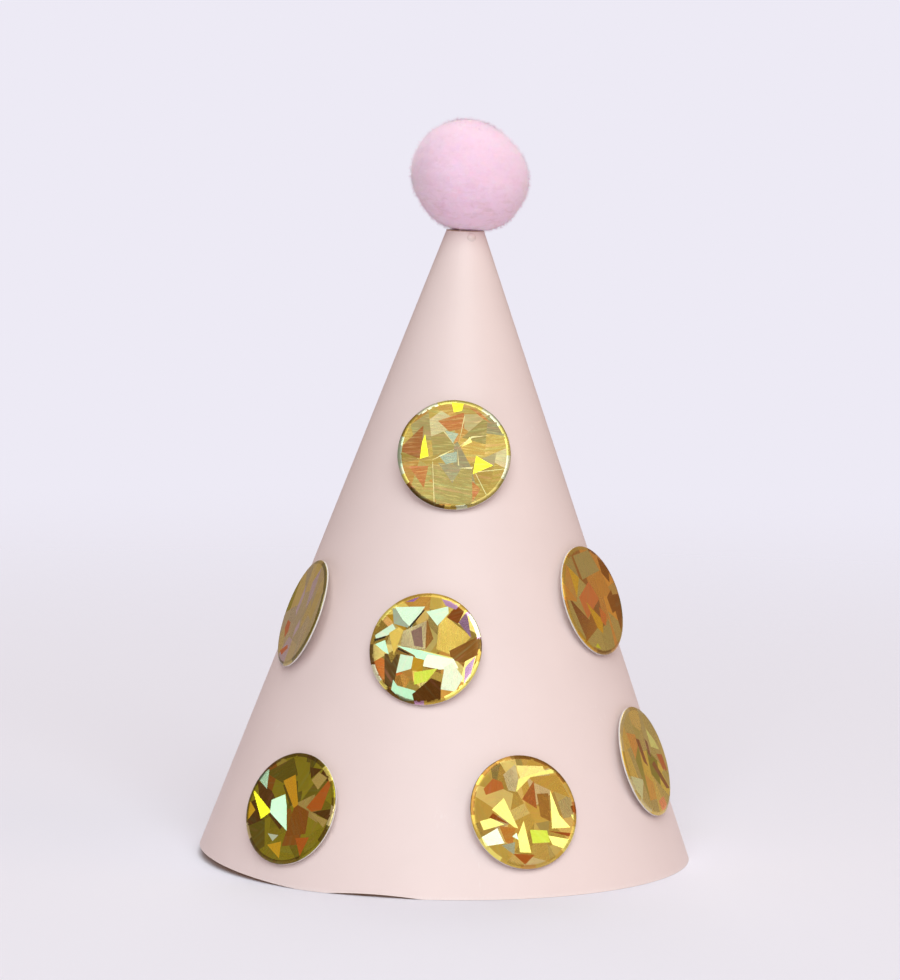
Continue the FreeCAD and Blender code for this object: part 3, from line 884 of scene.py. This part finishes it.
def buildPile(core, number):
    # fibres matted down on the core, and loose ones that rise from it, as thin ribbons
    rng = np.random.default_rng(pileShape["seed"] + number)
    data = core.data
    points = pointsOf(data)
    corners = np.empty(len(data.polygons) * 3, dtype=np.int64)
    data.polygons.foreach_get("vertices", corners)
    corners = corners.reshape(-1, 3)
    a, b, c = points[corners[:, 0]], points[corners[:, 1]], points[corners[:, 2]]
    cross = np.cross(b - a, c - a)
    area = np.linalg.norm(cross, axis=1)
    count = pileShape["strands"]
    chosen = rng.choice(len(area), size=count, p=area / area.sum())
    s, t = rng.random(count), rng.random(count)
    flip = s + t > 1
    s[flip], t[flip] = 1 - s[flip], 1 - t[flip]
    root = a[chosen] + (b[chosen] - a[chosen]) * s[:, None] + (c[chosen] - a[chosen]) * t[:, None]
    out = cross[chosen] / area[chosen][:, None]

    # fibres swirl together in tufts a few millimetres wide
    near = root / mm
    flow = np.stack([np.sin(near[:, 1] * 0.55 + 1.3 * np.sin(near[:, 2] * 0.31)),
                     np.sin(near[:, 2] * 0.47 + 1.1 * np.sin(near[:, 0] * 0.37) + 2.0),
                     np.sin(near[:, 0] * 0.51 + 1.2 * np.sin(near[:, 1] * 0.43) + 4.0)], axis=1)
    lay = flow * 0.75 + rng.normal(0, 0.75, (count, 3))
    lay -= out * np.sum(lay * out, axis=1)[:, None]
    lay /= np.linalg.norm(lay, axis=1)[:, None]
    side = np.cross(out, lay)
    length = rng.uniform(*pileShape["length"], count)
    rise = rng.uniform(*pileShape["rise"], count)
    loose = rng.random(count) < pileShape["loose"]
    rise[loose] = rng.uniform(*pileShape["looseRise"], loose.sum())
    length[loose] *= rng.uniform(0.35, 0.8, loose.sum())
    bend = rng.normal(0, 0.35, count) * length
    width = rng.uniform(*pileShape["width"], count)
    width[loose] *= pileShape["looseWidth"]
    roll = rng.normal(0, 0.2, count)

    rows = []
    for step in range(4):
        part = step / 3
        arch = np.where(loose, part, math.sin(math.pi * part) * 1.3 - 0.3)
        height = rise * arch - (length * part) ** 2 / (2 * pompomShape["radius"])
        place = root + lay * (length * part)[:, None] + side * (bend * part ** 2)[:, None]
        place = place + out * height[:, None]
        across = side * np.cos(roll)[:, None] + out * np.sin(roll)[:, None]
        half = width * (0.5, 0.5, 0.4, 0.16)[step]
        rows += [place - across * half[:, None], place + across * half[:, None]]
    verts = np.stack(rows, axis=1).reshape(-1, 3)
    first = (np.arange(count) * 8)[:, None]
    quads = np.concatenate([first + np.array([[0, 1, 3, 2]]) + 2 * k for k in range(3)], axis=1)
    data = bpy.data.meshes.new(f"pile{number}")
    data.from_pydata(verts.tolist(), [], quads.reshape(-1, 4).tolist())
    data.polygons.foreach_set("use_smooth", [True] * len(data.polygons))
    shade = np.clip(rng.normal(0.5, 0.2, count), 0, 1)
    for label, values in (("fibreShade", shade), ("fibreLoose", loose)):
        attribute = data.attributes.new(label, "FLOAT", "POINT")
        attribute.data.foreach_set("value", np.repeat(values, 8).astype(np.float32))
    return addObject(data.name, data)


def makeFibreTone():
    # pink of the fibres: pale on top, with duller mottled patches lower down
    white = (1, 1, 1, 1)
    group, source, sink = newGroup("fibreTone", [
        ("Position", "Vector", None), ("Shade", "Float", 0.5), ("Dull", "Float", 0.0),
        ("Pale", "Color", white), ("Deep", "Color", white)], [("Colour", "Color"), ("Mat", "Float")])
    level = put(group, "Mapping", {"Vector": source["Position"], "Rotation": (0.0, 0.2, 0.0),
                                   "Scale": (1.0, 1.0, 2.4)}).outputs[0]
    spot = stretch(group, noiseOf(group, level, 320.0, 4.0, 0.6, 0.8), 0.48, 0.68)
    matted = times(group, spot, stretch(group, source["Dull"], 0.0, 1.0, 0.2, 0.9))
    share = plus(group, times(group, source["Shade"], 0.4), matted)
    feed(group, sink, {"Colour": blendColour(group, share, source["Pale"], source["Deep"]), "Mat": spot})
    return group


fibreTone = makeFibreTone()


def pinkOf(tree, position, middle, shade, tones):
    height = put(tree, "SeparateXYZ", {0: position}).outputs["Z"]
    lower = stretch(tree, height, middle.z + 1 * mm, middle.z - 9 * mm)
    return useGroup(tree, fibreTone, {"Position": position, "Shade": shade, "Dull": lower, **tones})


def makePompomMaterials(middle):
    pile, tree, shader, position = newMaterial("pompomPile", {
        "Specular IOR Level": 0.2, "Sheen Weight": 0.4, "Sheen Roughness": 0.5})
    shade = put(tree, "Attribute", attribute_name="fibreShade").outputs["Fac"]
    free = put(tree, "Attribute", attribute_name="fibreLoose").outputs["Fac"]
    pink = pinkOf(tree, position, middle, shade, pileShape["tones"])
    # felt scatters light, so fibres shade with the ball more than one by one
    ball = vectorOf(tree, "NORMALIZE", vectorOf(tree, "SUBTRACT", position, middle))
    facing = put(tree, "NewGeometry").outputs["Normal"]
    own = put(tree, "VectorMath", {0: facing, "Scale": stretch(tree, free, 0.0, 1.0, 0.3, 1.2)},
              operation="SCALE").outputs[0]
    feed(tree, shader, {"Base Color": pink["Colour"], "Roughness": stretch(tree, shade, 0.0, 1.0, 0.7, 0.9),
                        "Normal": vectorOf(tree, "NORMALIZE", vectorOf(tree, "ADD", ball, own))})

    matted, tree, shader, position = newMaterial("pompomCore", {
        "Specular IOR Level": 0.15, "Sheen Weight": 0.6, "Sheen Roughness": 0.45,
        "Subsurface Weight": 0.6, "Subsurface Scale": 3.0 * mm})
    felt = noiseOf(tree, position, 1500.0, 5.0, 0.75)
    pink = pinkOf(tree, position, middle, felt, pompomShape["tones"])
    feed(tree, shader, {"Base Color": pink["Colour"], "Normal": bumpOf(tree, felt, 0.25 * mm, 0.7),
                        "Roughness": stretch(tree, pink["Mat"], 0.0, 1.0, 0.8, 0.95)})
    return pile, matted


core, pompomMiddle = buildPompomCore()
pileMaterial, coreMaterial = makePompomMaterials(pompomMiddle)
core.data.materials.append(coreMaterial)
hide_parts("pompom")
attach(core, "root")
for number in range(pileShape["pieces"]):
    pile = buildPile(core, number)
    pile.data.materials.append(pileMaterial)
    # light soaks through real fibres, and these thin ribbons would darken the ball
    pile.visible_shadow = False
    pile.visible_diffuse = False
    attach(pile, "root")
print("pompom finished")


# floor, backdrop, lights and camera
stage = {
    "floor": (0.80, 0.80, 0.88, 1), "floorFull": 0.16, "floorGone": 0.85,
    "backdrop": tone(237, 234, 245),
    "ambient": (0.34, 0.265, 0.245, 1),
}
lamps = {
    # power, size, distance, turn to the right of the front, height angle, colour
    "keyLight": (132.0, 3.4, 4.0, 5, 42, (0.90, 0.99, 1.0)),
    "rightFill": (14.0, 2.4, 4.0, 70, 25, (1.0, 0.66, 0.42)),
    "backLight": (52.0, 2.6, 4.0, 180, 62, (1.0, 1.0, 1.0)),
}
view = {
    "target": (-0.02 * mm, 0.0, 83.04 * mm), "distance": 1.0, "elevation": 5.746, "roll": 0.918,
    "focal": 4430.0, "rows": 980,
}


def makeFloor():
    mesh = bmesh.new()
    bmesh.ops.create_circle(mesh, cap_ends=True, cap_tris=True, segments=128, radius=stage["floorGone"])
    for vert in mesh.verts:
        vert.co.z = -0.05 * mm
    floor = addMesh("floor", mesh)
    material, tree, shader, position = newMaterial("floorPaper", {
        "Base Color": stage["floor"], "Roughness": 0.9, "Specular IOR Level": 0.1})
    reach = put(tree, "VectorMath", {0: position}, operation="LENGTH").outputs["Value"]
    fade = put(tree, "MapRange", {
        "Value": reach, "From Min": stage["floorFull"], "From Max": stage["floorGone"],
        "To Min": 1.0, "To Max": 0.0}, interpolation_type="SMOOTHSTEP")
    feed(tree, shader, {"Alpha": fade.outputs["Result"]})
    floor.data.materials.append(material)


def makeWorld():
    world = bpy.data.worlds.new("studio")
    bpy.context.scene.world = world
    world.use_nodes = True
    tree = world.node_tree
    tree.nodes.clear()
    seen = put(tree, "LightPath").outputs["Is Camera Ray"]
    colour = blendColour(tree, seen, stage["ambient"], stage["backdrop"])
    back = put(tree, "Background", {"Color": colour, "Strength": 1.0})
    put(tree, "OutputWorld", {"Surface": back.outputs[0]})


def makeLamps():
    for name, (power, size, distance, turn, height, colour) in lamps.items():
        data = bpy.data.lights.new(name, "AREA")
        data.energy = power
        data.size = size
        data.color = colour
        lamp = addObject(name, data)
        turn, height = math.radians(turn), math.radians(height)
        level = Vector((math.sin(turn), -math.cos(turn), 0)) * math.cos(height)
        way = level + Vector((0, 0, math.sin(height)))
        lamp.location = Vector((0, 0, 0.08)) + way * distance
        lamp.rotation_euler = way.to_track_quat("Z", "Y").to_euler()


def makeCamera():
    data = bpy.data.cameras.new("camera")
    data.sensor_fit = "VERTICAL"
    data.sensor_height = 36.0
    data.lens = view["focal"] / view["rows"] * data.sensor_height
    data.clip_start, data.clip_end = 0.05, 20.0
    camera = addObject("camera", data)
    rise, roll = math.radians(view["elevation"]), math.radians(view["roll"])
    back = Vector((0, -math.cos(rise), math.sin(rise)))
    right = Vector((1, 0, 0))
    up = Vector((0, math.sin(rise), math.cos(rise)))
    rolledRight = right * math.cos(roll) + up * math.sin(roll)
    rolledUp = up * math.cos(roll) - right * math.sin(roll)
    place = Matrix((rolledRight, rolledUp, back)).transposed().to_4x4()
    place.translation = Vector(view["target"]) + back * view["distance"]
    camera.matrix_world = place
    bpy.context.scene.camera = camera


makeFloor()
makeWorld()
makeLamps()
makeCamera()
bpy.context.scene.view_settings.view_transform = "Standard"
bpy.context.scene.view_settings.look = "None"
print("stage finished")
